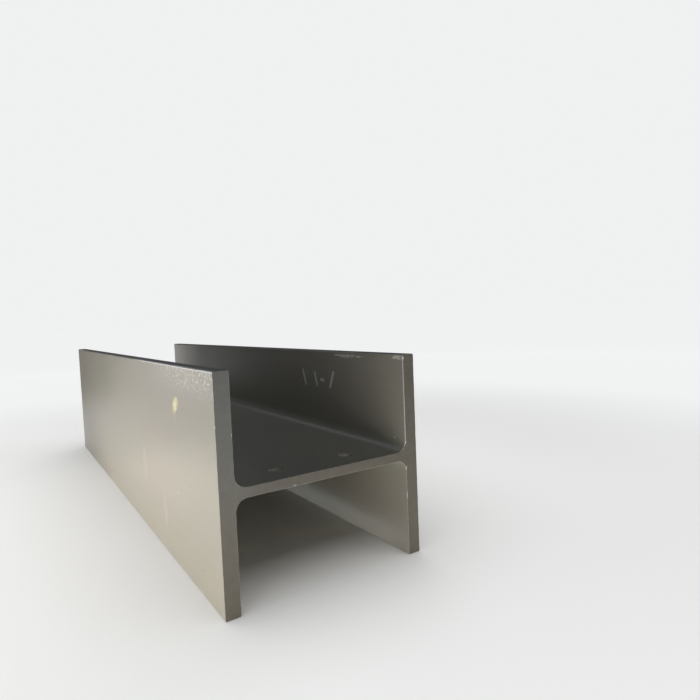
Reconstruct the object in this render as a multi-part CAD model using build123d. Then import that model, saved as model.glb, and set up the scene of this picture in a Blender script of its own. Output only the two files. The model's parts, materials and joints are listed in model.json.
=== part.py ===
"""A short length of hot-rolled wide-flange H-beam, drilled for two bolts through its web near one end.

The beam lies as an H seen from its end: web level, flanges upright, standing on the toes of its two flanges.
X runs across the section, Y along the beam and Z up. The origin is on the floor under the middle of the beam,
and the drilled end is the one towards -Y. All sizes are in millimetres.
"""
import os

from build123d import *

# Rolled section
section_depth = 414.0  # over the outer faces of the two flanges
flange_width = 405.0
flange_thickness = 28.0
web_thickness = 18.0
root_radius = 22.0  # hollow rolled between web and flange
toe_radius = 3.0  # rounded corners of the flange edges

# Length and sawn ends
beam_length = 1600.0
arris_chamfer = 1.0  # sharp sawn edges dressed off before painting

# Bolt holes, in one row across the web
hole_diameter = 30.0
hole_gauge = 150.0  # between centres, equally about the middle of the web
hole_end_distance = 65.0  # from the sawn end to the centres
hole_count = 2
hole_rim_chamfer = 1.0  # drilling burr taken off both faces of the web

# Places that follow from the sizes above
flange_offset = (section_depth - flange_thickness) / 2
clear_web_depth = section_depth - 2 * flange_thickness
web_height = flange_width / 2  # the web's middle, above the floor
drilled_end = -beam_length / 2
hole_row = drilled_end + hole_end_distance


def section_outline():
    """The rolled H outline, centred on the middle of the web, seen along the beam."""
    with BuildSketch() as outline:
        with Locations((-flange_offset, 0), (flange_offset, 0)):
            Rectangle(flange_thickness, flange_width)
        Rectangle(clear_web_depth, web_thickness)
        corners = outline.vertices().group_by(lambda corner: abs(corner.Y))
        roots, toes = corners[0], corners[-1]
        fillet(roots, root_radius)
        fillet(toes, toe_radius)
    return outline.sketch


def rolled_length():
    """The outline carried along the beam, with the sharp edges of both sawn ends dressed off."""
    blank = extrude(Plane.XZ * section_outline(), amount=beam_length / 2, both=True)
    sawn_ends = blank.faces().filter_by(Axis.Y).sort_by(Axis.Y)
    return chamfer(sawn_ends.edges(), arris_chamfer)


def bolt_hole():
    """A drill through the web, widened at both faces of the web where its burr is taken off."""
    drill = Cylinder(hole_diameter / 2, 2 * web_thickness)
    rim_radius = hole_diameter / 2 + hole_rim_chamfer
    rim = Cone(hole_diameter / 2, rim_radius, hole_rim_chamfer)
    rim_height = (web_thickness - hole_rim_chamfer) / 2
    upper_rim = Pos(0, 0, rim_height) * rim
    lower_rim = mirror(upper_rim, about=Plane.XY)
    return drill + upper_rim + lower_rim


def h_beam():
    """The beam as it stands on the floor, with its row of bolt holes."""
    beam = rolled_length()
    for place in GridLocations(hole_gauge, 0, hole_count, 1):
        beam -= Pos(0, hole_row, 0) * place * bolt_hole()
    return Pos(0, 0, web_height) * beam


if __name__ == "__main__":
    os.makedirs("parts", exist_ok=True)
    export_step(h_beam(), "parts/h_beam.step")
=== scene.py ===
"""Models and paints a short length of wide-flange H-beam: rolled, sawn, drilled, dressed and primed.

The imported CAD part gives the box, the thicknesses and the bolt holes, and the radii repeat its own. The
beam is modelled again with a finer skin, so that its rolled hollows and its bolt holes are round and
its arrises as uneven as dressed steel, and it stands for the CAD node. Lengths are in metres in the
CAD part's own frame: X across the section, Y along the beam, Z up from the floor, with the drilled end
towards -Y.
"""
import json
import math

import bmesh
import bpy
from mathutils import Matrix, Vector


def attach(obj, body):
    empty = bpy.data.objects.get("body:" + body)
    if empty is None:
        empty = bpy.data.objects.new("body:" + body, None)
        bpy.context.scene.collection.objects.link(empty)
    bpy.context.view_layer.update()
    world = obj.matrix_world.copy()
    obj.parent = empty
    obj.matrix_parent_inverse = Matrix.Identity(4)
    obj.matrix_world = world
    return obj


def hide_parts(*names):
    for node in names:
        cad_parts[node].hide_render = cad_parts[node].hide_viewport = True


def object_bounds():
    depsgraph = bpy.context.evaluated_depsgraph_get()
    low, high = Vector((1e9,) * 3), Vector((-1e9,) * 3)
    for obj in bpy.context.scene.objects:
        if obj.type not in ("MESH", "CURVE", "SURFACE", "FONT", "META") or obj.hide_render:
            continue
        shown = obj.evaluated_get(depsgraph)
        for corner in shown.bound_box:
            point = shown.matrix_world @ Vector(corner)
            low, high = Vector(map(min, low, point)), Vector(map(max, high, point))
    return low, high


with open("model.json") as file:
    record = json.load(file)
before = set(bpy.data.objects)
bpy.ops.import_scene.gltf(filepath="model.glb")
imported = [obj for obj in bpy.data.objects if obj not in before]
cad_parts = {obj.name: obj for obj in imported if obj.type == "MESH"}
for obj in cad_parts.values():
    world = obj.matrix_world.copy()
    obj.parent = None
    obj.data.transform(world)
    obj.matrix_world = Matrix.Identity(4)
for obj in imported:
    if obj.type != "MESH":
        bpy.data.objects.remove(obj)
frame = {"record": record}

bl_info = {
    "name": "Rolled H-Beam",
    "version": (1, 0, 0),
    "blender": (4, 5, 0),
    "location": "View3D > Sidebar > H-Beam",
    "description": "Models and paints a drilled length of wide-flange H-beam on a studio floor",
    "category": "Object",
}

MM = 0.001
BLACK = (0, 0, 0, 1)
# A face looks along an axis where its normal goes further along it than this
FACING = 0.9

# Sizes and places that the CAD part gives
CAD_LOW, CAD_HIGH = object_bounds()
MOUNTS = {mount["name"]: mount for mount in frame["record"]["mounts"]}
WEB_TOP = MOUNTS["web_top"]["pos_m"][2]
WEB_UNDERSIDE = MOUNTS["web_underside"]["pos_m"][2]
WEB_MIDDLE = (WEB_TOP + WEB_UNDERSIDE) / 2
FLANGE_MIDDLE = MOUNTS["lower_toe_right"]["pos_m"][0]
BOLT_ROW = MOUNTS["web_bolts"]["pos_m"]
HOLE_RADIUS = MOUNTS["web_bolts"]["dims"]["hole_r_mm"] * MM
HOLE_GAUGE = MOUNTS["web_bolts"]["dims"]["spacing_x_mm"] * MM


class BeamSizes(bpy.types.PropertyGroup):
    """Sizes of the rolled section, its sawn ends and its bolt holes"""

    web_thickness: bpy.props.FloatProperty(
        name="Web Thickness", description="Thickness of the plate between the flanges",
        default=WEB_TOP - WEB_UNDERSIDE, unit="LENGTH")
    flange_thickness: bpy.props.FloatProperty(
        name="Flange Thickness", description="Thickness of each flange",
        default=2 * (CAD_HIGH.x - FLANGE_MIDDLE), unit="LENGTH")
    root_radius: bpy.props.FloatProperty(
        name="Root Radius", description="Hollow rolled between web and flange",
        default=22 * MM, unit="LENGTH")
    toe_radius: bpy.props.FloatProperty(
        name="Toe Radius", description="Rounding of the flanges' long edges",
        default=3 * MM, unit="LENGTH")
    arris_width: bpy.props.FloatProperty(
        name="Arris Width", description="How far the sharp sawn edges are dressed back",
        default=1 * MM, unit="LENGTH")
    arris_wear: bpy.props.FloatProperty(
        name="Arris Wear", description="Deepest nick in a dressed arris",
        default=0.45 * MM, unit="LENGTH")
    hole_radius: bpy.props.FloatProperty(
        name="Hole Radius", description="Radius of each bolt hole through the web",
        default=HOLE_RADIUS, unit="LENGTH")
    hole_gauge: bpy.props.FloatProperty(
        name="Hole Gauge", description="Distance between the bolt holes' centres",
        default=HOLE_GAUGE, unit="LENGTH")
    rim_width: bpy.props.FloatProperty(
        name="Rim Width", description="Drilling burr taken off each hole's rims",
        default=1 * MM, unit="LENGTH")
    skin_step: bpy.props.FloatProperty(
        name="Skin Step", description="Spacing of the skin's cuts across the section",
        default=6 * MM, unit="LENGTH")
    slices: bpy.props.IntProperty(
        name="Slices", description="Number of slices that the skin has along the beam",
        default=100, min=1, max=101)


def start_clean():
    """Leaves object mode with nothing selected, because an operator acts on all that is selected."""
    if bpy.context.mode != "OBJECT":
        bpy.ops.object.mode_set(mode="OBJECT")
    bpy.ops.object.select_all(action="DESELECT")


def pick(piece):
    """Makes one piece the only selected and active one."""
    start_clean()
    piece.select_set(True)
    bpy.context.view_layer.objects.active = piece


def pick_faces(piece, wanted):
    """In edit mode, selects the faces whose middle and normal pass the test."""
    bpy.ops.mesh.select_mode(type="FACE")
    bpy.ops.mesh.select_all(action="DESELECT")
    skin = bmesh.from_edit_mesh(piece.data)
    for face in skin.faces:
        face.select_set(wanted(face.calc_center_median(), face.normal))
    bmesh.update_edit_mesh(piece.data)


def pick_edges(piece, wanted):
    """In edit mode, selects the edges whose two ends pass the test."""
    bpy.ops.mesh.select_mode(type="EDGE")
    bpy.ops.mesh.select_all(action="DESELECT")
    skin = bmesh.from_edit_mesh(piece.data)
    for edge in skin.edges:
        if wanted(edge.verts[0].co, edge.verts[1].co):
            edge.select_set(True)
    bmesh.update_edit_mesh(piece.data)


def near(value, target):
    """True where two places are the same to a hundredth of a millimetre."""
    return abs(value - target) < 0.01 * MM


def apply_modifier(piece, kind, **settings):
    """Adds one modifier to the piece and applies it."""
    pick(piece)
    modifier = piece.modifiers.new(kind.title(), kind)
    for name, value in settings.items():
        setattr(modifier, name, value)
    bpy.ops.object.modifier_apply(modifier=modifier.name)


def extrude_faces(piece, wanted, offset):
    """Draws the picked faces out by an offset."""
    pick_faces(piece, wanted)
    bpy.ops.mesh.extrude_region_move(TRANSFORM_OT_translate={"value": offset})


def round_edges(piece, wanted, radius, segments):
    """Rounds the picked edges, hollow in a corner and full on an arris."""
    pick_edges(piece, wanted)
    bpy.ops.mesh.bevel(
        offset_type="OFFSET", offset=radius, segments=segments, profile=0.5,
        affect="EDGES", clamp_overlap=False)


def cut_across(places, axis):
    """Cuts the whole skin with a plane square to the axis at each place."""
    for place in places:
        bpy.ops.mesh.select_all(action="SELECT")
        bpy.ops.mesh.bisect(plane_co=axis * place, plane_no=axis)


def steps_between(low, high, step):
    """Evenly spaced places from low to high, no further apart than the step."""
    count = math.ceil((high - low) / step)
    return [low + (high - low) * number / count for number in range(count + 1)]


def roll_section(piece, sizes):
    """In edit mode, draws the web plate out into the full H section, with hollow roots and round toes."""
    web_end = CAD_HIGH.x - sizes.flange_thickness
    for side in (-1, 1):
        extrude_faces(
            piece, lambda middle, normal: normal.x * side > FACING,
            (side * sizes.flange_thickness, 0, 0))
    for side, height in ((1, CAD_HIGH.z - WEB_TOP), (-1, WEB_UNDERSIDE - CAD_LOW.z)):
        extrude_faces(
            piece, lambda middle, normal: abs(middle.x) > web_end and normal.z * side > FACING,
            (0, 0, side * height))
    bpy.ops.mesh.select_all(action="SELECT")
    bpy.ops.mesh.dissolve_limited(angle_limit=math.radians(1))
    round_edges(
        piece,
        lambda a, b: near(a.x, b.x) and near(a.z, b.z) and near(abs(a.x), web_end)
        and near(abs(a.z - WEB_MIDDLE), sizes.web_thickness / 2),
        sizes.root_radius, segments=12)
    toe_height = (CAD_HIGH.z - CAD_LOW.z) / 2
    round_edges(
        piece,
        lambda a, b: near(a.x, b.x) and near(a.z, b.z) and near(abs(a.z - WEB_MIDDLE), toe_height),
        sizes.toe_radius, segments=4)


def dress_ends(piece, sizes):
    """In edit mode, takes the sharp edge off the outline of both sawn ends."""
    round_edges(
        piece,
        lambda a, b: near(abs(a.y), CAD_HIGH.y) and near(a.y, b.y),
        sizes.arris_width, segments=3)


def refine_skin(piece, sizes):
    """In edit mode, cuts the flat faces into small ones, so that the arrises can be uneven."""
    root_edge = WEB_TOP + sizes.root_radius
    toe_edge = CAD_HIGH.z - sizes.toe_radius
    heights = steps_between(root_edge, toe_edge, sizes.skin_step)[:-1]
    mirrored = [2 * WEB_MIDDLE - height for height in heights]
    cut_across(heights + mirrored, Vector((0, 0, 1)))
    web_reach = CAD_HIGH.x - sizes.flange_thickness - sizes.root_radius
    cut_across(steps_between(-web_reach, web_reach, sizes.skin_step), Vector((1, 0, 0)))
    slice_length = 2 * CAD_HIGH.y / sizes.slices
    pick_edges(piece, lambda a, b: near(a.x, b.x) and near(a.z, b.z) and abs(a.y - b.y) > slice_length)
    bpy.ops.mesh.subdivide(number_cuts=sizes.slices - 1)
    guard = CAD_HIGH.y - 4 * sizes.arris_width
    cut_across((-guard, guard), Vector((0, 1, 0)))


def wear_arrises(piece, sizes):
    """Nicks the sawn arrises and, less deeply, the long toe edges, always inwards."""
    wear = piece.vertex_groups.new(name="arris wear")
    toe_share = 0.35
    margin = 0.1 * MM
    sawn = CAD_HIGH.y - sizes.arris_width - margin
    rounded = (CAD_HIGH.z - CAD_LOW.z) / 2 - sizes.toe_radius + margin
    for vertex in piece.data.vertices:
        place = vertex.co
        in_flange = CAD_HIGH.x - abs(place.x) < sizes.flange_thickness
        if near(abs(place.y), CAD_HIGH.y):
            continue
        if abs(place.y) > sawn:
            wear.add([vertex.index], 1.0, "REPLACE")
        elif abs(place.z - WEB_MIDDLE) > rounded and in_flange:
            wear.add([vertex.index], toe_share, "REPLACE")
    nicks = bpy.data.textures.new("nicks", "CLOUDS")
    nicks.noise_scale = 11 * MM
    nicks.noise_depth = 2
    nicks.contrast = 2.5
    nicks.intensity = 0.75
    nicks.use_clamp = True
    apply_modifier(
        piece, "DISPLACE", texture=nicks, texture_coords="LOCAL", direction="NORMAL",
        vertex_group=wear.name, mid_level=0.0, strength=-sizes.arris_wear)
    bpy.data.textures.remove(nicks)
    piece.vertex_groups.clear()


def make_drill(place, sizes):
    """A drill that is as wide as the hole in the web and flares where the rims lose their burr."""
    start_clean()
    bpy.ops.mesh.primitive_cylinder_add(
        vertices=64, radius=sizes.hole_radius, depth=sizes.web_thickness - 2 * sizes.rim_width,
        location=place)
    drill = bpy.context.object
    bpy.ops.object.mode_set(mode="EDIT")
    flare = (sizes.hole_radius + sizes.rim_width) / sizes.hole_radius
    for side in (-1, 1):
        extrude_faces(
            drill, lambda middle, normal: normal.z * side > FACING, (0, 0, side * sizes.rim_width))
        bpy.ops.transform.resize(value=(flare, flare, 1), center_override=place)
        clear_of_web = {"value": (0, 0, side * sizes.web_thickness)}
        bpy.ops.mesh.extrude_region_move(TRANSFORM_OT_translate=clear_of_web)
    start_clean()
    return drill


def drill_web(piece, sizes):
    """Cuts the row of bolt holes through the web."""
    for side in (-1, 1):
        place = Vector((side * sizes.hole_gauge / 2, BOLT_ROW[1], BOLT_ROW[2]))
        drill = make_drill(place, sizes)
        apply_modifier(piece, "BOOLEAN", object=drill, operation="DIFFERENCE", solver="EXACT")
        bpy.data.objects.remove(drill)


class HBEAM_OT_rolled_beam(bpy.types.Operator):
    """Model the rolled, sawn and drilled beam with a fine skin, and show it in place of the CAD node"""

    bl_idname = "hbeam.rolled_beam"
    bl_label = "Rolled Beam"

    def execute(self, context):
        sizes = context.scene.beam_sizes
        start_clean()
        web_width = 2 * (CAD_HIGH.x - sizes.flange_thickness)
        bpy.ops.mesh.primitive_cube_add(
            size=1, location=(0, 0, WEB_MIDDLE), scale=(web_width, 2 * CAD_HIGH.y, sizes.web_thickness))
        piece = context.object
        piece.name = piece.data.name = "rolled_beam"
        bpy.ops.object.transform_apply(location=True, rotation=True, scale=True)
        bpy.ops.object.mode_set(mode="EDIT")
        roll_section(piece, sizes)
        dress_ends(piece, sizes)
        refine_skin(piece, sizes)
        start_clean()
        wear_arrises(piece, sizes)
        drill_web(piece, sizes)
        pick(piece)
        bpy.ops.object.shade_smooth_by_angle(angle=math.radians(40))
        apply_modifier(piece, "WEIGHTED_NORMAL", keep_sharp=True, weight=50)
        piece.data.materials.clear()
        piece.data.materials.append(primer(context.scene.primer_finish))
        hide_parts("h_beam")
        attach(piece, "root")
        return {"FINISHED"}


class Wire:
    """An outlet in a node tree. Arithmetic on wires adds the Math nodes that work it out."""

    def __init__(self, board, socket):
        self.board = board
        self.socket = socket

    def __add__(self, other):
        return self.board.maths("ADD", self, other)

    __radd__ = __add__

    def __sub__(self, other):
        return self.board.maths("SUBTRACT", self, other)

    def __rsub__(self, other):
        return self.board.maths("SUBTRACT", other, self)

    def __mul__(self, other):
        return self.board.maths("MULTIPLY", self, other)

    def __truediv__(self, other):
        return self.board.maths("DIVIDE", self, other)

    def __gt__(self, other):
        return self.board.maths("GREATER_THAN", self, other)

    def __lt__(self, other):
        return self.board.maths("LESS_THAN", self, other)

    def __abs__(self):
        return self.board.maths("ABSOLUTE", self)

    def lower_of(self, other):
        """The smaller of two values."""
        return self.board.maths("MINIMUM", self, other)

    def higher_of(self, other):
        """The larger of two values."""
        return self.board.maths("MAXIMUM", self, other)

    def fade(self, start, end):
        """Goes smoothly from 0 where the value is start to 1 where it is end."""
        return self.board.node(
            "ShaderNodeMapRange", {"interpolation_type": "SMOOTHSTEP"},
            {"Value": self, "From Min": start, "From Max": end})

    def swing(self, span):
        """Turns noise from 0 to 1 into a change about 0, as wide as the span."""
        return (self - 0.5) * span


class Board:
    """A new material's node tree, and the one method that adds a node to it."""

    def __init__(self, name):
        self.material = bpy.data.materials.new(name)
        self.material.use_nodes = True
        self.tree = self.material.node_tree
        self.shader = self.tree.nodes["Principled BSDF"]

    def node(self, kind, settings=None, inlets=None, outlet=0):
        """Adds a node with its settings, feeds its inlets with values or wires, and gives one outlet."""
        made = self.tree.nodes.new(kind)
        for name, value in (settings or {}).items():
            setattr(made, name, value)
        for name, value in (inlets or {}).items():
            self.feed(made.inputs[name], value)
        return Wire(self, made.outputs[outlet])

    def feed(self, inlet, value):
        """Links a wire to an inlet, or sets the inlet to a value."""
        if isinstance(value, Wire):
            self.tree.links.new(value.socket, inlet)
        else:
            inlet.default_value = value

    def maths(self, operation, *values):
        """One Math node."""
        return self.node("ShaderNodeMath", {"operation": operation}, dict(enumerate(values)))

    def places(self):
        """Object coordinates, as a vector and as its three parts."""
        place = self.node("ShaderNodeTexCoord", outlet="Object")
        parts = self.node("ShaderNodeSeparateXYZ", inlets={"Vector": place})
        return (place, *(Wire(self, outlet) for outlet in parts.socket.node.outputs))

    def grain(self, place, size, stretch=(1, 1, 1), detail=2.0, roughness=0.5):
        """Noise from about 0 to 1. Its grains have a size in metres, and the stretch draws them out."""
        sizes = [size * share for share in stretch]
        scaled = self.node("ShaderNodeVectorMath", {"operation": "DIVIDE"}, {0: place, 1: sizes})
        inlets = {"Vector": scaled, "Scale": 1.0, "Detail": detail, "Roughness": roughness}
        return self.node("ShaderNodeTexNoise", inlets=inlets)

    def mix_colour(self, share, low, high):
        """A colour between two others, through the colour sockets of a Mix node."""
        return self.node("ShaderNodeMix", {"data_type": "RGBA"}, {0: share, 6: low, 7: high}, outlet=2)

    def brighten(self, colour, share):
        """A colour times a number."""
        return self.node("ShaderNodeVectorMath", {"operation": "SCALE"}, {0: colour, "Scale": share})

    def only_glow(self, colour):
        """Makes the material give off a colour and reflect nothing."""
        self.shader.inputs["Base Color"].default_value = BLACK
        self.shader.inputs["Specular IOR Level"].default_value = 0.0
        self.shader.inputs["Emission Strength"].default_value = 1.0
        self.feed(self.shader.inputs["Emission Color"], colour)


class PrimerFinish(bpy.types.PropertyGroup):
    """Colours, roughness and relief of the sprayed primer, its marks and its painted light and shade"""

    paint: bpy.props.FloatVectorProperty(
        name="Primer", description="Colour of the sprayed primer", default=(0.40, 0.384, 0.323),
        size=3, subtype="COLOR")
    warm_paint: bpy.props.FloatVectorProperty(
        name="Warm Primer", description="Colour of the slightly rosier patches of the primer",
        default=(0.411, 0.378, 0.325), size=3, subtype="COLOR")
    # Painted shade: a dark brownish colour for the sawn ends and, more lightly, for the bolt holes' bores
    end_and_bore_shade: bpy.props.FloatVectorProperty(
        name="Thin Primer", description="Colour of the thin coat on the sawn ends and in the bolt holes",
        default=(0.148, 0.134, 0.106), size=3, subtype="COLOR")
    # Painted light: a cooler, greyer colour on the left flange's upper sawn end, standing in for light
    # from above
    end_painted_skylight: bpy.props.FloatVectorProperty(
        name="End Primer", description="Colour of the left flange's sawn ends, which have more paint",
        default=(0.161, 0.166, 0.155), size=3, subtype="COLOR")
    rubbed_paint: bpy.props.FloatVectorProperty(
        name="Rubbed Primer", description="Colour of arrises and hole rims, where the coat is rubbed",
        default=(0.52, 0.50, 0.46), size=3, subtype="COLOR")
    chalk: bpy.props.FloatVectorProperty(
        name="Chalk", description="Colour of the chalk strokes", default=(0.92, 0.92, 0.92),
        size=3, subtype="COLOR")
    # Serves real pale spatter and dots, and also painted reflections and painted highlights on the
    # flanges and drilled end
    pale_spatter_and_glint: bpy.props.FloatVectorProperty(
        name="Spatter", description="Colour of the paint's pale beads, crust, dots and smears",
        default=(0.83, 0.82, 0.78), size=3, subtype="COLOR")
    # Painted highlight: pale glints on the sags near the left flange's upper drilled corner
    painted_sag_glints: bpy.props.FloatVectorProperty(
        name="Glaze", description="Colour of the sags where the coat ran thick",
        default=(0.79, 0.74, 0.68), size=3, subtype="COLOR")
    # Painted highlight on the left flange's rounded upper edge near the drilled end
    glint: bpy.props.FloatVectorProperty(
        name="Glint", description="Colour of the left flange's upper edge, where the coat gathered",
        default=(0.92, 0.92, 0.92), size=3, subtype="COLOR")
    # Painted reflection: a yellow patch on the left flange, with a brighter core
    yellow_reflection: bpy.props.FloatVectorProperty(
        name="Dab", description="Colour of the yellow paint dab", default=(0.86, 0.76, 0.36),
        size=3, subtype="COLOR")
    yellow_reflection_core: bpy.props.FloatVectorProperty(
        name="Dab Core", description="Colour of the dab where it is thick",
        default=(0.95, 0.92, 0.70), size=3, subtype="COLOR")
    dirt: bpy.props.FloatVectorProperty(
        name="Dirt", description="Colour of the dark dots", default=(0.12, 0.11, 0.10),
        size=3, subtype="COLOR")
    roughness: bpy.props.FloatProperty(
        name="Roughness", description="Roughness of the sprayed coat", default=0.42, min=0, max=1,
        subtype="FACTOR")
    least_roughness: bpy.props.FloatProperty(
        name="Least Roughness", description="Roughness that no part of the coat is under",
        default=0.29, min=0, max=1, subtype="FACTOR")
    peel_size: bpy.props.FloatProperty(
        name="Orange Peel Size", description="Size of the dimples that spraying leaves",
        default=2.6 * MM, unit="LENGTH")
    peel_depth: bpy.props.FloatProperty(
        name="Orange Peel Depth", description="Depth of the dimples that spraying leaves",
        default=0.14 * MM, unit="LENGTH")
    wave_depth: bpy.props.FloatProperty(
        name="Wave Depth", description="Depth of the long waves that rolling leaves",
        default=0.7 * MM, unit="LENGTH")
    sag_depth: bpy.props.FloatProperty(
        name="Sag Depth", description="Height of the sags where the coat ran thick",
        default=1.2 * MM, unit="LENGTH")
    scratch_depth: bpy.props.FloatProperty(
        name="Scratch Depth", description="Depth of the rolling streaks and the saw scratches",
        default=0.05 * MM, unit="LENGTH")
    chip_depth: bpy.props.FloatProperty(
        name="Chip Depth", description="Depth of the coat's chips on the arrises",
        default=0.35 * MM, unit="LENGTH")


def opaque(colour):
    """A colour with its alpha, as a colour inlet takes it."""
    return (*colour, 1.0)


def spots(along, up, marks, core=0.3):
    """Oval spots, each a centre, half sizes and a strength. A smaller core gives a softer edge."""
    cover = 0.0
    for centre, half_size, strength in marks:
        across = (along - centre[0]) / half_size[0]
        over = (up - centre[1]) / half_size[1]
        cover = (across * across + over * over).fade(1.0, core) * strength + cover
    return cover


def stroke(along, up, start, end, width):
    """1 on a straight stroke between two points and 0 off it."""
    run = Vector(end) - Vector(start)
    from_start = (along - start[0]), (up - start[1])
    share = (from_start[0] * run.x + from_start[1] * run.y) / run.length_squared
    share = share.lower_of(1.0).higher_of(0.0)
    gap = (from_start[0] - share * run.x), (from_start[1] - share * run.y)
    reach_squared = (width / 2) ** 2
    return (gap[0] * gap[0] + gap[1] * gap[1]).fade(1.3 * reach_squared, 0.4 * reach_squared)


# Oval marks, as centre, half sizes and strength. Places are (y, z) on the flanges and (x, z) on the
# drilled end.
# Painted reflections: pale upright streaks on the left flange's outer face
PAINTED_REFLECTIONS = (
    ((-0.462, 0.088), (0.020, 0.056), 0.27),
    ((-0.297, 0.158), (0.024, 0.056), 0.25),
    ((-0.578, 0.298), (0.012, 0.028), 0.19))
PALE_DOTS = (
    ((-0.5687, 0.154), (0.003, 0.003), 0.55),)
DARK_DOTS = (
    ((-0.6518, 0.1873), (0.0028, 0.0028), 0.5),
    ((-0.704, 0.0489), (0.003, 0.003), 0.5))
# Painted highlight: glints along the right flange's upper inner toe edge
TOE_GLINTS = (
    ((-0.605, 0.3955), (0.085, 0.0045), 1.1),
    ((-0.430, 0.3975), (0.240, 0.0030), 0.55),
    ((-0.785, 0.3975), (0.024, 0.0065), 1.3))
# Pale specks by the right flange's root near the drilled end: a paint speck and a painted highlight
ROOT_SPECKS_AND_GLINTS = (
    ((-0.7655, 0.234), (0.0025, 0.0025), 0.9),
    ((-0.780, 0.1805), (0.024, 0.0034), 0.9))
# Pale paint beads on the drilled end's arrises, partly painted highlight
END_BEADS_AND_GLINTS = (
    ((-0.2067, 0.366), (0.0008, 0.011), 0.5),
    ((-0.2067, 0.3165), (0.0010, 0.003), 0.8),
    ((-0.2067, 0.287), (0.0008, 0.006), 0.4),
    ((-0.1795, 0.2999), (0.0015, 0.003), 0.9),
    ((0.1785, 0.1767), (0.0024, 0.0035), 0.9),
    ((0.1793, 0.123), (0.0013, 0.008), 0.8),
    ((-0.0711, 0.1958), (0.0040, 0.0014), 0.45))
# Straight marks on the flanges, as their two ends in (y, z)
# Painted reflection: the yellow patch and its brighter core
YELLOW_REFLECTION = ((-0.590, 0.334), (-0.574, 0.322))
YELLOW_REFLECTION_CORE = ((-0.587, 0.332), (-0.577, 0.324))
CHALK_STROKES = (
    ((-0.392, 0.352), (-0.404, 0.317)),
    ((-0.452, 0.349), (-0.462, 0.318)),
    ((-0.482, 0.333), (-0.494, 0.3325)),
    ((-0.524, 0.318), (-0.540, 0.354)))
# The painted highlight on the drilled end, up the right flange's inner arris: the x and the lowest z of
# its upright part, and the two ends of its foot in (x, z)
ARRIS_GLINT_PLACE = 0.1793
ARRIS_GLINT_LOW = 0.231
ARRIS_GLINT_FOOT = ((0.1788, 0.2300), (0.1712, 0.2185))


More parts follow.
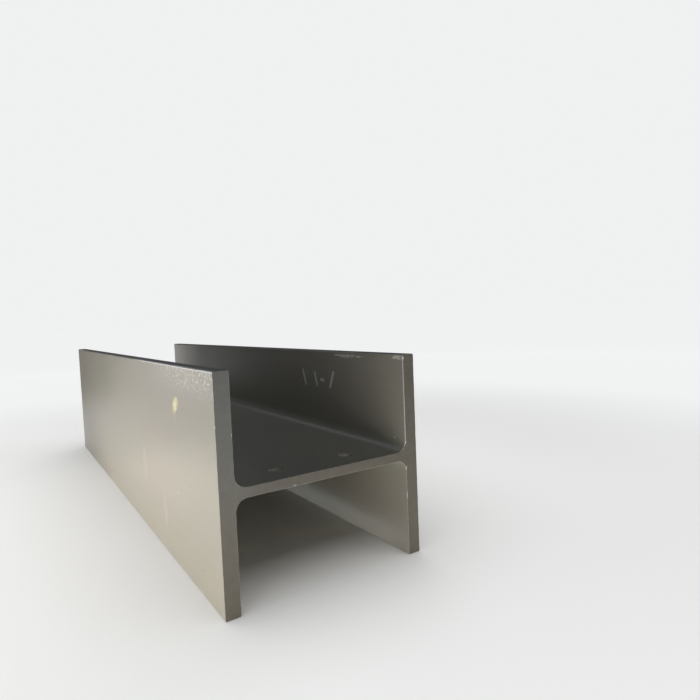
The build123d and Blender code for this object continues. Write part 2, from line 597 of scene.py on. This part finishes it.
class Coat(Board):
    """The primer's node tree, with the places, grains and zones that its layers share."""

    def __init__(self, finish):
        super().__init__("sprayed_grey_primer")
        self.finish = finish
        self.colour = opaque(finish.paint)
        self.place, self.x, self.y, self.z = self.places()
        self.clouds = self.grain(self.place, 0.22, (1, 2.2, 1), detail=3)
        self.streaks = self.grain(self.place, 14 * MM, (1, 60, 1), detail=3)
        self.mottle = self.grain(self.place, 17 * MM, detail=4, roughness=0.6)
        self.chips = self.grain(self.place, 3.2 * MM, detail=3, roughness=0.65)
        self.sags = self.grain(self.place, 5.2 * MM, (1, 1.7, 1), detail=1.5)
        self.find_ends()
        self.find_flanges()

    def find_ends(self):
        """Marks off the sawn ends and the rubbed arrises. Each zone is 1 inside and 0 outside."""
        from_end = CAD_HIGH.y - abs(self.y)
        self.sawn = from_end < 0.12 * MM
        self.end_arris = from_end.fade(1.4 * MM, 0.9 * MM) * (1 - self.sawn)
        from_toe = CAD_HIGH.z - WEB_MIDDLE - abs(self.z - WEB_MIDDLE)
        towards_corner = abs(abs(self.x) - FLANGE_MIDDLE).fade(10.5 * MM, 12.5 * MM)
        self.toe_arris = from_toe.fade(2.8 * MM, 1.7 * MM) * towards_corner
        wear = (self.end_arris * 0.6).higher_of(self.toe_arris * 0.8)
        self.rubbed = wear * self.chips.fade(0.34, 0.6)

    def find_flanges(self):
        """Marks off the flanges' marked faces, the wet patch, which also takes painted glints, and the
        upper edge's painted highlight.
        """
        self.left_face = self.x < (1 * MM - CAD_HIGH.x)
        self.right_face = (self.x > (CAD_HIGH.x - 28.5 * MM)) * (self.x < (CAD_HIGH.x - 25 * MM))
        # The wet patch: glossier and bumpier, and it also takes painted glints
        self.wet_and_glint_patch = self.z.fade(0.32, 0.40) * self.y.fade(-0.33, -0.66) * self.left_face
        # Painted highlight along the left flange's rounded upper edge, towards the drilled end
        edge = (self.z > (CAD_HIGH.z - 3.5 * MM)) * (self.x < (2.5 * MM - CAD_HIGH.x))
        self.painted_edge_glint = edge * self.y.fade(-0.20, -0.36) * self.chips.fade(0.24, 0.42)

    def lay(self, share, colour):
        """Lays one more colour over the coat, as thickly as its share says."""
        self.colour = self.mix_colour(share, self.colour, opaque(colour))

    def spray(self):
        """Colours the coat: rosier patches, rubbed arrises, painted glints, and painted shade and
        skylight on the ends.
        """
        finish = self.finish
        patches = self.grain(self.place, 0.16, (1, 1.6, 1), detail=3)
        self.lay(patches.fade(0.42, 0.62), finish.warm_paint)
        self.lay(self.rubbed, finish.rubbed_paint)
        # Painted highlight along the left flange's upper edge
        self.lay(self.painted_edge_glint, finish.glint)
        # Painted highlight: pale glints on the sags' crests
        self.lay(self.sags.fade(0.47, 0.68) * self.wet_and_glint_patch * self.wet_and_glint_patch * 0.8, finish.painted_sag_glints)
        # Painted shade: the sawn ends get the dark brownish colour
        self.lay(self.sawn, finish.end_and_bore_shade)
        # Painted light: the left flange's sawn end turns cooler and greyer upwards
        left_flange = self.x.fade(-0.08, -0.16)
        self.lay(self.sawn * left_flange * self.z.fade(0.05, 0.36), finish.end_painted_skylight)

    def vary_tone(self):
        """Makes the coat uneven, most on the sawn ends, and paints shade on the web's and right flange's
        sawn ends.
        """
        tooth = self.grain(self.place, 1.1 * MM, detail=1)
        tone = 1.0 + self.clouds.swing(0.16) + self.streaks.swing(0.07) + tooth.swing(0.06)
        tone = tone + self.mottle.swing(self.sawn * 0.34 + 0.05)
        # Painted shade: darker sawn ends right of the left flange and across the web
        right_end_shade = self.x.fade(-0.18, -0.10) * self.z.fade(0.05, 0.25)
        web_end_shade = abs(self.x).fade(0.175, 0.14)
        tone = tone - self.sawn * (right_end_shade * 0.12 + web_end_shade * 0.07)
        self.colour = self.brighten(self.colour, tone)

    def rub_holes(self):
        """Paints shade into the bolt holes' bores and rubs their rims pale, the right one more as painted
        highlight.
        """
        across = abs(self.x) - HOLE_GAUGE / 2
        along = self.y - BOLT_ROW[1]
        from_bore = self.maths("SQRT", across * across + along * along) - HOLE_RADIUS
        # Painted shade in the bores
        self.lay(from_bore.fade(0.7 * MM, 0.2 * MM) * 0.45, self.finish.end_and_bore_shade)
        # Rubbed rims on both holes, paler on the right hole as a painted highlight
        rim_wear_and_glint = abs(from_bore - 0.7 * MM).fade(1.1 * MM, 0.5 * MM)
        right_hole = self.x > 0
        self.lay(rim_wear_and_glint * (right_hole * 0.45 + 0.25), self.finish.rubbed_paint)

    def mark_left_flange(self):
        """Lays pale painted reflections, the dots and a yellow painted reflection on the outer face of
        the left flange.
        """
        finish, y, z = self.finish, self.y, self.z
        wisps = self.grain(self.place, 4.5 * MM, (1, 1, 11), detail=2).fade(0.42, 0.66)
        ragged = y + self.chips.swing(9 * MM)
        # Painted reflections as pale streaks, with real pale dots
        pale = spots(y, z, PAINTED_REFLECTIONS, core=0.0) * wisps + spots(ragged, z, PALE_DOTS)
        self.lay(pale * self.left_face, finish.pale_spatter_and_glint)
        self.lay(spots(ragged, z, DARK_DOTS) * self.left_face, finish.dirt)
        # Painted reflection: the yellow patch and its brighter core
        speckle = self.mottle + self.chips
        yellow_reflection = (stroke(y, z, *YELLOW_REFLECTION, width=30 * MM) + speckle).fade(1.74, 1.98)
        self.lay(yellow_reflection * self.left_face * 0.85, finish.yellow_reflection)
        core = (stroke(y, z, *YELLOW_REFLECTION_CORE, width=20 * MM) + speckle).fade(1.84, 2.12)
        self.lay(core * self.left_face * 0.9, finish.yellow_reflection_core)

    def mark_right_flange(self):
        """Lays painted glints on the upper toe, pale specks by the root and the chalk strokes on the
        right flange's inner face.
        """
        y, z = self.y, self.z
        dashes = self.grain(self.place, 8 * MM, (1, 2.6, 0.6), detail=2, roughness=0.6)
        # Painted highlight: glints along the upper toe edge
        toe_glints = (spots(y, z, TOE_GLINTS) * 0.36 + dashes).fade(0.80, 0.92)
        # The specks are partly paint and partly painted highlight
        specks_and_glints = (toe_glints + spots(y, z, ROOT_SPECKS_AND_GLINTS)).lower_of(1.0)
        self.lay(specks_and_glints * self.right_face * 0.85, self.finish.pale_spatter_and_glint)
        chalk = sum(stroke(y, z, start, end, width=8.5 * MM) for start, end in CHALK_STROKES)
        gaps = self.chips.fade(0.26, 0.40)
        self.lay(chalk.lower_of(1.0) * self.right_face * gaps, self.finish.chalk)

    def bead_end(self):
        """Lays pale paint beads, partly painted highlight, and a painted highlight up the right inner
        arris on the drilled end.
        """
        x, z = self.x, self.z
        # Painted highlight: a pale line up the right flange's inner arris and round its root
        run = abs(x - ARRIS_GLINT_PLACE).fade(1.2 * MM, 0.6 * MM) * (z > ARRIS_GLINT_LOW) * self.chips.fade(0.30, 0.58)
        run = run + stroke(x, z, *ARRIS_GLINT_FOOT, width=5 * MM)
        beads = (spots(x, z, END_BEADS_AND_GLINTS) + run).lower_of(1.0)
        at_drilled_end = self.y < (1.2 * MM - CAD_HIGH.y)
        self.lay(beads * at_drilled_end * 0.85, self.finish.pale_spatter_and_glint)

    def gloss(self):
        """The coat's roughness: least where it ran thick or is rubbed, most on the sawn ends."""
        roughness = self.finish.roughness + self.clouds.swing(0.10) + self.streaks.swing(0.06)
        roughness = roughness + self.sawn * 0.10 - self.wet_and_glint_patch * 0.11 - self.rubbed * 0.08
        return roughness.higher_of(self.finish.least_roughness)

    def relief(self):
        """Height of the coat: orange peel, rolling marks, sags, saw scratches and chipped arrises."""
        finish = self.finish
        dimples = self.grain(self.place, finish.peel_size, detail=1.5, roughness=0.45)
        peel = dimples * finish.peel_depth * (1 - self.sawn * 0.4) * (1 + self.wet_and_glint_patch * 1.5)
        waves = self.grain(self.place, 0.13, (1, 2.5, 1), detail=2)
        rolling = waves * finish.wave_depth + self.streaks * finish.scratch_depth
        sags = self.sags * self.wet_and_glint_patch * finish.sag_depth
        scratches = self.grain(self.place, 1.4 * MM, (9, 1, 0.6), detail=2)
        sawing = (scratches + self.mottle * 2) * self.sawn * finish.scratch_depth
        chipping = self.chips * self.end_arris.higher_of(self.toe_arris) * finish.chip_depth
        return peel + rolling + sags + sawing + chipping


def primer(finish):
    """The sprayed grey primer, with its marks and painted light and shade, on the flanges, the web and
    the sawn ends.
    """
    coat = Coat(finish)
    coat.spray()
    coat.vary_tone()
    coat.rub_holes()
    coat.mark_left_flange()
    coat.mark_right_flange()
    coat.bead_end()
    coat.feed(coat.shader.inputs["Base Color"], coat.colour)
    coat.feed(coat.shader.inputs["Roughness"], coat.gloss())
    bumps = {"Strength": 1.0, "Distance": 1.0, "Height": coat.relief()}
    coat.feed(coat.shader.inputs["Normal"], coat.node("ShaderNodeBump", inlets=bumps))
    return coat.material


class StudioSettings(bpy.types.PropertyGroup):
    """The camera, the lights and the floor of the studio"""

    lens: bpy.props.FloatProperty(
        name="Lens", description="Focal length on a 36 mm wide sensor, in millimetres", default=26.82)
    camera_place: bpy.props.FloatVectorProperty(
        name="Camera Place", description="Where the camera stands",
        default=(-0.48055, -1.59358, 0.47443), size=3, subtype="XYZ", unit="LENGTH")
    camera_yaw: bpy.props.FloatProperty(
        name="Camera Yaw", description="Turn to the right of the beam's own direction",
        default=math.radians(34.012), subtype="ANGLE")
    camera_pitch: bpy.props.FloatProperty(
        name="Camera Pitch", description="Tilt upwards", default=math.radians(-3.150), subtype="ANGLE")
    camera_roll: bpy.props.FloatProperty(
        name="Camera Roll", description="Lean of the camera to the left",
        default=math.radians(-2.318), subtype="ANGLE")
    floor_radius: bpy.props.FloatProperty(
        name="Floor Radius", description="Radius of the round floor", default=6.0, unit="LENGTH")
    floor_rim: bpy.props.FloatProperty(
        name="Floor Rim", description="Height that the floor sweeps up to all round",
        default=0.5, unit="LENGTH")
    floor_colour: bpy.props.FloatVectorProperty(
        name="Floor", description="Colour of the floor round the beam",
        default=(0.78, 0.78, 0.77), size=3, subtype="COLOR")
    backdrop_colour: bpy.props.FloatVectorProperty(
        name="Backdrop", description="Colour of the backdrop and of the floor's far part",
        default=(0.87, 0.875, 0.88), size=3, subtype="COLOR")
    key_power: bpy.props.FloatProperty(
        name="Key Power", description="Power of the soft light on the left", default=6)
    back_power: bpy.props.FloatProperty(
        name="Back Power", description="Power of the low light behind on the left", default=5)
    floor_power: bpy.props.FloatProperty(
        name="Floor Power", description="Power of the soft light that only the floor takes", default=392)
    low_power: bpy.props.FloatProperty(
        name="Low Power", description="Power of the strip at the left flange's foot",
        default=1.8)
    front_power: bpy.props.FloatProperty(
        name="Front Power", description="Power of the strip on the floor before the drilled end",
        default=1.0)
    foot_power: bpy.props.FloatProperty(
        name="Foot Power", description="Power of each strip at the flanges' feet, under the web",
        default=0.085)
    top_power: bpy.props.FloatProperty(
        name="Top Power", description="Power of the light high above the far end",
        default=7)
    fill_power: bpy.props.FloatProperty(
        name="Fill Power", description="Power of the weak light on the right", default=4)
    sky_colour: bpy.props.FloatVectorProperty(
        name="Sky", description="Colour of the light from above",
        default=(0.75, 0.85, 1.0), size=3, subtype="COLOR")
    sky_strength: bpy.props.FloatProperty(
        name="Sky Strength", description="Strength of the light from above", default=0.045)


def add_camera(settings):
    """Places the camera so that it sees the drilled end and the left flange."""
    start_clean()
    bpy.ops.object.camera_add()
    camera = bpy.context.object
    camera.name = "camera"
    camera.data.sensor_width = 36
    camera.data.lens = settings.lens
    camera.data.clip_end = 100
    level = Matrix.Rotation(-settings.camera_yaw, 4, "Z") @ Matrix.Rotation(math.pi / 2, 4, "X")
    pitch = Matrix.Rotation(settings.camera_pitch, 4, "X")
    roll = Matrix.Rotation(settings.camera_roll, 4, "Z")
    camera.matrix_world = Matrix.Translation(settings.camera_place) @ level @ pitch @ roll
    bpy.context.scene.camera = camera


def floor_material(settings):
    """Matt pale floor, which far from the beam goes over into the even glow of the backdrop."""
    board = Board("pale_studio_floor")
    place, x, y, z = board.places()
    matt_radius, glow_radius = 0.9, settings.floor_radius * 0.45
    far = board.maths("SQRT", x * x + y * y + z * z).fade(matt_radius, glow_radius)
    smudges = board.grain(place, 0.7, detail=3)
    paint = board.mix_colour(far, opaque(settings.floor_colour), BLACK)
    board.feed(board.shader.inputs["Base Color"], board.brighten(paint, 0.985 + smudges * 0.03))
    board.feed(board.shader.inputs["Roughness"], 0.55 + smudges * 0.1 + far * 0.35)
    glow = board.mix_colour(far, BLACK, opaque(settings.backdrop_colour))
    board.feed(board.shader.inputs["Emission Color"], glow)
    board.shader.inputs["Emission Strength"].default_value = 1.0
    board.shader.inputs["Specular IOR Level"].default_value = 0.2
    return board.material


def add_floor(settings):
    """A round pale floor whose rim sweeps up, so that no view shows a horizon."""
    start_clean()
    bpy.ops.mesh.primitive_cylinder_add(
        vertices=96, radius=settings.floor_radius, depth=settings.floor_rim,
        location=(0, 0, settings.floor_rim / 2))
    floor = bpy.context.object
    floor.name = floor.data.name = "studio_floor"
    bpy.ops.object.transform_apply(location=True)
    bpy.ops.object.mode_set(mode="EDIT")
    pick_faces(floor, lambda middle, normal: normal.z > FACING)
    bpy.ops.mesh.delete(type="FACE")
    sweep = settings.floor_rim * 0.9
    round_edges(floor, lambda a, b: near(a.z, 0) and near(b.z, 0), sweep, segments=16)
    bpy.ops.mesh.select_all(action="SELECT")
    bpy.ops.mesh.flip_normals()
    pick(floor)
    bpy.ops.object.shade_smooth()
    floor.data.materials.append(floor_material(settings))
    return floor


def add_backdrop(settings):
    """A pale dome that the camera sees and that neither lights nor shades the beam."""
    start_clean()
    bpy.ops.mesh.primitive_uv_sphere_add(segments=48, ring_count=24, radius=2 * settings.floor_radius)
    backdrop = bpy.context.object
    backdrop.name = backdrop.data.name = "studio_backdrop"
    backdrop.visible_diffuse = backdrop.visible_glossy = backdrop.visible_shadow = False
    backdrop.visible_transmission = backdrop.visible_volume_scatter = False
    board = Board("pale_backdrop")
    board.only_glow(opaque(settings.backdrop_colour))
    backdrop.data.materials.append(board.material)


def add_soft_light(name, place, target, size, power, lit, shading, colour=(1, 1, 1)):
    """A soft light, wide and high as its size says, that looks at a point.

    It lights one object alone, and only the shading pieces stand in its way.
    """
    start_clean()
    bpy.ops.object.light_add(type="AREA", location=place)
    lamp = bpy.context.object
    lamp.name = name
    lamp.data.shape = "RECTANGLE"
    lamp.data.size, lamp.data.size_y = size
    lamp.data.energy = power
    lamp.data.color = colour
    lamp.rotation_euler = (Vector(target) - Vector(place)).to_track_quat("-Z", "Y").to_euler()
    lamp.visible_camera = False
    takers = bpy.data.collections.new(name + "_takers")
    takers.objects.link(lit)
    lamp.light_linking.receiver_collection = takers
    blockers = bpy.data.collections.new(name + "_blockers")
    for piece in shading:
        blockers.objects.link(piece)
    lamp.light_linking.blocker_collection = blockers


def add_lights(settings, beam, floor, card):
    """Lights the beam softly from the left and above, weakly from elsewhere, and the floor from above."""
    on_beam = {"lit": beam, "shading": (beam,)}
    add_soft_light(
        "key_light", place=(-1.9, 0.05, 0.20), target=(-0.2, 0.05, 0.2), size=(2.8, 0.40),
        power=settings.key_power, colour=(1, 0.965, 0.91), **on_beam)
    add_soft_light(
        "fill_light", place=(2.2, 0.3, 0.5), target=(0.2, 0.1, 0.2), size=(1.6, 0.7),
        power=settings.fill_power, colour=(0.93, 0.97, 1), **on_beam)
    add_soft_light(
        "back_light", place=(-1.28, 3.0, 0.28), target=(-0.2, -0.6, 0.38), size=(0.5, 0.5),
        power=settings.back_power, colour=(1, 0.96, 0.93), lit=beam, shading=(beam, card))
    add_soft_light(
        "top_light", place=(0, 1.3, 2.35), target=(0, 0.2, 0.2), size=(0.7, 2.2),
        power=settings.top_power, colour=(0.90, 0.96, 1), **on_beam)
    add_soft_light(
        "low_light", place=(-0.50, -0.40, 0.02), target=(-0.2, -0.40, 0.04), size=(1.5, 0.06),
        power=settings.low_power, colour=(1, 0.93, 0.82), **on_beam)
    add_soft_light(
        "front_light", place=(0.08, -1.35, 0.04), target=(0.10, -0.6, 0.06), size=(0.8, 0.08),
        power=settings.front_power, colour=(1, 0.94, 0.84), **on_beam)
    foot_height, foot_gap = 0.010, 0.04
    for side, name in ((-1, "left_foot_light"), (1, "right_foot_light")):
        inner_face = side * (2 * FLANGE_MIDDLE - CAD_HIGH.x)
        add_soft_light(
            name, place=(inner_face - side * foot_gap, 0, foot_height),
            target=(inner_face, 0, foot_height), size=(1.5, 0.010), power=settings.foot_power,
            colour=(0.88, 0.96, 1), **on_beam)
    add_soft_light(
        "floor_light", place=(-0.9, -0.2, 4), target=(-0.9, -0.2, 0), size=(8, 8),
        power=settings.floor_power, lit=floor, shading=(beam,))


def add_dark_card(place, size):
    """A card that the camera does not see, dark above a pale foot.

    It darkens the far part of the left flange.
    """
    start_clean()
    bpy.ops.mesh.primitive_plane_add(size=1, location=place, rotation=(math.pi / 2, 0, 0))
    card = bpy.context.object
    card.name = card.data.name = "studio_dark_card"
    card.scale = (*size, 1)
    bpy.ops.object.transform_apply(location=True, rotation=True, scale=True)
    card.visible_camera = False
    board = Board("dark_card")
    height = board.places()[-1]
    pale, dark = (0.6, 0.6, 0.6, 1), (0.07, 0.07, 0.07, 1)
    foot_top, dark_from = 0.08, 0.22
    board.only_glow(board.mix_colour(height.fade(foot_top, dark_from), pale, dark))
    card.data.materials.append(board.material)
    return card


def add_sky(settings):
    """Dim, slightly blue light from above."""
    world = bpy.data.worlds.new("dim_sky")
    world.use_nodes = True
    sky = world.node_tree.nodes["Background"]
    sky.inputs["Color"].default_value = opaque(settings.sky_colour)
    sky.inputs["Strength"].default_value = settings.sky_strength
    bpy.context.scene.world = world


class HBEAM_OT_studio(bpy.types.Operator):
    """Set up the pale floor, the soft lights and the camera"""

    bl_idname = "hbeam.studio"
    bl_label = "Studio"

    def execute(self, context):
        settings = context.scene.studio_settings
        context.scene.view_settings.view_transform = "Standard"
        beam = context.scene.objects["rolled_beam"]
        floor = add_floor(settings)
        add_backdrop(settings)
        card = add_dark_card(place=(-0.48, 1.3, 0.60), size=(0.52, 1.0))
        add_lights(settings, beam, floor, card)
        add_sky(settings)
        add_camera(settings)
        return {"FINISHED"}


class HBEAM_PT_builder(bpy.types.Panel):
    """Lists the steps that build the beam and the studio"""

    bl_label = "H-Beam"
    bl_idname = "HBEAM_PT_builder"
    bl_space_type = "VIEW_3D"
    bl_region_type = "UI"
    bl_category = "H-Beam"

    def draw(self, context):
        for step in STEPS:
            self.layout.operator(step.bl_idname)


STEPS = (HBEAM_OT_rolled_beam, HBEAM_OT_studio)
CLASSES = (BeamSizes, PrimerFinish, StudioSettings, *STEPS, HBEAM_PT_builder)


def register():
    for made in CLASSES:
        bpy.utils.register_class(made)
    bpy.types.Scene.beam_sizes = bpy.props.PointerProperty(type=BeamSizes)
    bpy.types.Scene.primer_finish = bpy.props.PointerProperty(type=PrimerFinish)
    bpy.types.Scene.studio_settings = bpy.props.PointerProperty(type=StudioSettings)


def unregister():
    for name in ("beam_sizes", "primer_finish", "studio_settings"):
        delattr(bpy.types.Scene, name)
    for made in reversed(CLASSES):
        bpy.utils.unregister_class(made)


def main():
    register()
    bpy.ops.hbeam.rolled_beam()
    bpy.ops.hbeam.studio()


if __name__ == "__main__":
    main()
